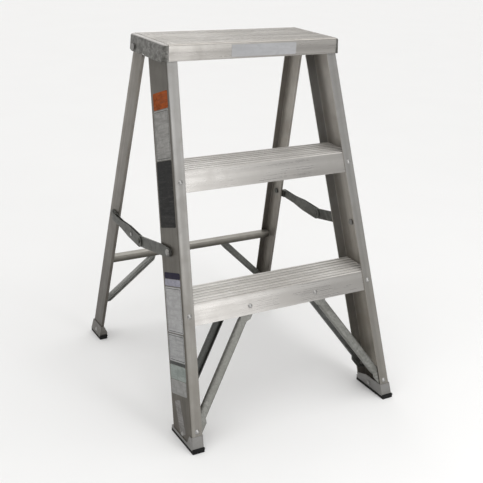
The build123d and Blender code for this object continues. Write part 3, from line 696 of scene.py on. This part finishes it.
railStickers = {
    "sheet": {"thick": 0.0002, "corner": 0.004, "lift": 0.00005, "margin": 0.003, "rule": 0.0012},
    "ruleInk": colour(0.07, (0.97, 1.0, 0.98)),
    "panels": {
        "stickerAmber": {
            "along": (0.755, 0.7925), "across": (0.006, 0.080),
            "ink": colour(0.33, (1.0, 0.19, 0.008)), "faded": colour(0.09, (1.0, 0.30, 0.06)),
        },
        "stickerSilver": {
            "along": (0.644, 0.7535), "across": (0.007, 0.082), "ruled": True,
            "ink": colour(0.31, (1.0, 0.98, 0.94)), "faded": colour(0.165, (1.0, 0.98, 0.94)),
        },
        "stickerCharcoal": {
            "along": (0.496, 0.6425), "across": (0.008, 0.084),
            "ink": colour(0.009), "faded": colour(0.045, (1.0, 0.97, 0.93)),
        },
        "stickerViolet": {
            "along": (0.383, 0.397), "across": (0.005, 0.083),
            "ink": colour(0.012, (0.85, 0.6, 1.9)), "faded": colour(0.028, (0.92, 0.75, 1.6)),
        },
        "stickerWhite": {
            "along": (0.367, 0.382), "across": (0.005, 0.083),
            "ink": colour(0.33, (0.96, 0.95, 1.12)), "faded": colour(0.2, (0.98, 0.96, 1.1)),
        },
        "stickerPale": {
            "along": (0.262, 0.3645), "across": (0.006, 0.084), "ruled": True,
            "ink": colour(0.41), "faded": colour(0.27, (1.0, 0.98, 0.97)),
        },
        "stickerPaleLow": {
            "along": (0.1975, 0.2595), "across": (0.007, 0.085), "ruled": True,
            "ink": colour(0.37), "faded": colour(0.23, (0.98, 1.0, 0.99)),
        },
        "stickerBand": {
            "along": (0.190, 0.1965), "across": (0.008, 0.086),
            "ink": colour(0.055, (0.95, 1.0, 0.98)), "faded": colour(0.10, (0.97, 1.0, 0.98)),
        },
        "stickerSage": {
            "along": (0.1565, 0.189), "across": (0.009, 0.086),
            "ink": colour(0.32, (0.90, 1.0, 0.94)), "faded": colour(0.19, (0.88, 1.0, 0.93)),
        },
        "stickerSageLow": {
            "along": (0.1225, 0.1555), "across": (0.010, 0.086),
            "ink": colour(0.29, (1.0, 0.99, 0.96)), "faded": colour(0.2, (1.0, 0.99, 0.96)),
        },
        "stickerStrip": {
            "along": (0.0325, 0.1105), "across": (0.0380, 0.0645), "lean": 13.6,
            "ink": colour(0.24, (1.0, 0.97, 0.94)), "faded": colour(0.11, (1.0, 0.95, 0.9)),
        },
    },
}


def railFrame(node):
    bottom, top = endCorners(node)
    outer = [Vector((min(p.x for p in ring), min(p.y for p in ring), ring[0].z)) for ring in (bottom, top)]
    up = (outer[1] - outer[0]).normalized()
    rearward = (rearwards - up * up.dot(rearwards)).normalized()
    floorPoint = outer[0] - up * (outer[0].z / up.z)
    return floorPoint, up, rearward


def stickRail():
    floorPoint, up, rearward = railFrame("front_rail_left")
    outward = (-rearward).cross(up)
    sheet = railStickers["sheet"]
    rule = makeFilm("film_rule", rearward, railStickers["ruleInk"], railStickers["ruleInk"])
    for name, panel in railStickers["panels"].items():
        low, high = panel["along"]
        front, rear = panel["across"]
        film = makeFilm("film_" + name, rearward, panel["ink"], panel["faded"])
        piece = makeSheet(name, rear - front, high - low, sheet, film, rule if panel.get("ruled") else None)
        middle = floorPoint + up * (low + high) / 2 + rearward * (front + rear) / 2
        middle += outward * sheet["lift"]
        place = Matrix.Translation(middle) @ Matrix((-rearward, up, outward)).transposed().to_4x4()
        place @= Matrix.Rotation(math.radians(panel.get("lean", 0.0)), 4, "Z")
        settle(piece, place, "front_frame")


stickRail()

frontPlate = {
    "from": -0.064,
    "to": 0.105,
    "margin": 0.004,
    "rim": 0.002,
    "thick": 0.0003,
    "corner": 0.003,
    "lift": 0.00005,
    "ink": colour(0.42, (0.98, 0.985, 1.01)),
    "faded": colour(0.34, (0.98, 0.985, 1.01)),
}


def stickFront():
    low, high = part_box("top_step")
    height = high.z - low.z - frontPlate["rim"] - 2 * frontPlate["margin"]
    film = makeFilm("film_topFront", across, frontPlate["ink"], frontPlate["faded"])
    piece = makeSheet("stickerTopFront", frontPlate["to"] - frontPlate["from"], height, frontPlate, film)
    middle = Vector((frontPlate["from"] + frontPlate["to"], 0.0, height)) / 2
    middle += Vector((0.0, low.y - frontPlate["lift"], low.z + frontPlate["margin"]))
    place = Matrix.Translation(middle) @ Matrix.Rotation(math.radians(90), 4, "X")
    settle(piece, place, "front_frame")


stickFront()
print("stickers placed")

# Button heads on the cheeks of the rear links
cheekButton = {"fromElbow": 0.044, "radius": 0.0048, "rise": 0.0017, "sunk": 0.0003, "round": 0.62}


def makeButton(name, centre, side):
    deselectAll()
    bpy.ops.mesh.primitive_cylinder_add(
        vertices=32, radius=cheekButton["radius"], depth=cheekButton["rise"] + cheekButton["sunk"]
    )
    piece = bpy.context.object
    piece.name = name
    piece.data.materials.append(finishes["rivet"])
    bpy.ops.object.mode_set(mode="EDIT")
    bpy.ops.mesh.select_all(action="SELECT")
    bpy.ops.mesh.bevel(offset=cheekButton["round"] * cheekButton["rise"], segments=4, affect="EDGES")
    bpy.ops.mesh.normals_make_consistent(inside=False)
    bpy.ops.object.mode_set(mode="OBJECT")
    bpy.ops.object.shade_smooth_by_angle(angle=math.radians(35))
    turn = Matrix.Rotation(math.radians(90 * side), 4, "Y")
    settle(piece, Matrix.Translation(centre) @ turn, "rear_link_" + name.split("_")[1])


for sideName, side in (("left", -1), ("right", 1)):
    low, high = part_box("spreader_elbow_rivet_" + sideName)
    linkLow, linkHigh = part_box("spreader_rear_link_" + sideName)
    elbow = (low + high) / 2
    joint = next(j for j in frame["joints"] if j["name"] == "rear_link_" + sideName + "_turn")
    pin = Vector(joint["pos_m"])
    way = Vector((0.0, pin.y - elbow.y, pin.z - elbow.z)).normalized()
    face = linkHigh.x if side > 0 else linkLow.x
    centre = elbow + way * cheekButton["fromElbow"]
    centre.x = face + side * (cheekButton["rise"] - cheekButton["sunk"]) / 2
    makeButton("cheekButton_" + sideName, centre, side)
print("link buttons placed")

# Floor, soft dome and key light
floorLook = {"size": 40.0, "drop": 0.0002, "albedo": 0.86, "mottle": 0.01, "mottleScale": 3.0, "rough": 0.9}
deselectAll()
bpy.ops.mesh.primitive_plane_add(size=floorLook["size"], location=(0.0, 0.0, -floorLook["drop"]))
floor = bpy.context.object
floor.name = "studioFloor"
paper, tree, shader, place = newMaterial("floorPaper")
mottle = addNoise(tree, place, floorLook["mottleScale"], detail=3.0, roughness=0.5)
darkPaper, lightPaper = (colour(floorLook["albedo"] + step * floorLook["mottle"]) for step in (-1, 1))
tree.links.new(addMix(tree, mottle, darkPaper, lightPaper), shader.inputs["Base Color"])
shader.inputs["Roughness"].default_value = floorLook["rough"]
shader.inputs["Specular IOR Level"].default_value = 0.0
floor.data.materials.append(paper)

dome = {
    "colour": (1.0, 0.995, 0.985, 1.0),
    "base": 0.50,
    "lobes": [
        {"towards": (0.17, 0.96, 0.22), "wide": 0.885, "tight": 0.975, "strength": 1.5},
        {"towards": (0.0, -0.1, 1.0), "wide": 0.3, "tight": 0.95, "strength": 0.88},
        {"towards": (0.68, -0.72, 0.1), "wide": 0.72, "tight": 0.96, "strength": -0.32},
    ],
}
world = bpy.data.worlds.new("studioDome")
bpy.context.scene.world = world
world.use_nodes = True
tree = world.node_tree
direction = addNode(tree, "ShaderNodeTexCoord").outputs["Generated"]
total = dome["base"]
for lobe in dome["lobes"]:
    towards = Vector(lobe["towards"]).normalized()
    turned = addVector(tree, "DOT_PRODUCT", direction, towards, "Value")
    glow = addRange(tree, turned, lobe["wide"], lobe["tight"], 0.0, lobe["strength"])
    total = addMath(tree, "ADD", glow, total)
background = tree.nodes["Background"]
background.inputs["Color"].default_value = dome["colour"]
tree.links.new(total, background.inputs["Strength"])

keyLight = {"at": (0.46, -1.75, 1.1), "aim": (0.46, 0.0, 1.1), "size": (0.6, 2.0), "power": 11.5}
lamp = bpy.data.lights.new("keySoftbox", "AREA")
lamp.shape = "RECTANGLE"
lamp.size, lamp.size_y = keyLight["size"]
lamp.energy = keyLight["power"]
key = bpy.data.objects.new("keySoftbox", lamp)
bpy.context.scene.collection.objects.link(key)
key.location = keyLight["at"]
key.rotation_euler = (Vector(keyLight["aim"]) - Vector(keyLight["at"])).to_track_quat("-Z", "Y").to_euler()
key.visible_camera = False
print("light set")

# Camera of the photograph
shot = {
    "at": (-1.0019, -1.7224, 1.1216),
    "azimuth": -30.513,
    "elevation": 21.397,
    "roll": 2.63,
    "lens": 64.02,
    "sensor": 36.0,
}
cameraData = bpy.data.cameras.new("shotCamera")
cameraData.lens = shot["lens"]
cameraData.sensor_width = shot["sensor"]
camera = bpy.data.objects.new("shotCamera", cameraData)
bpy.context.scene.collection.objects.link(camera)
turn = Matrix.Rotation(math.radians(shot["azimuth"]), 4, "Z")
turn @= Matrix.Rotation(math.radians(90 - shot["elevation"]), 4, "X")
turn @= Matrix.Rotation(math.radians(shot["roll"]), 4, "Z")
camera.matrix_world = Matrix.Translation(shot["at"]) @ turn
bpy.context.scene.camera = camera
bpy.context.scene.view_settings.view_transform = "Standard"
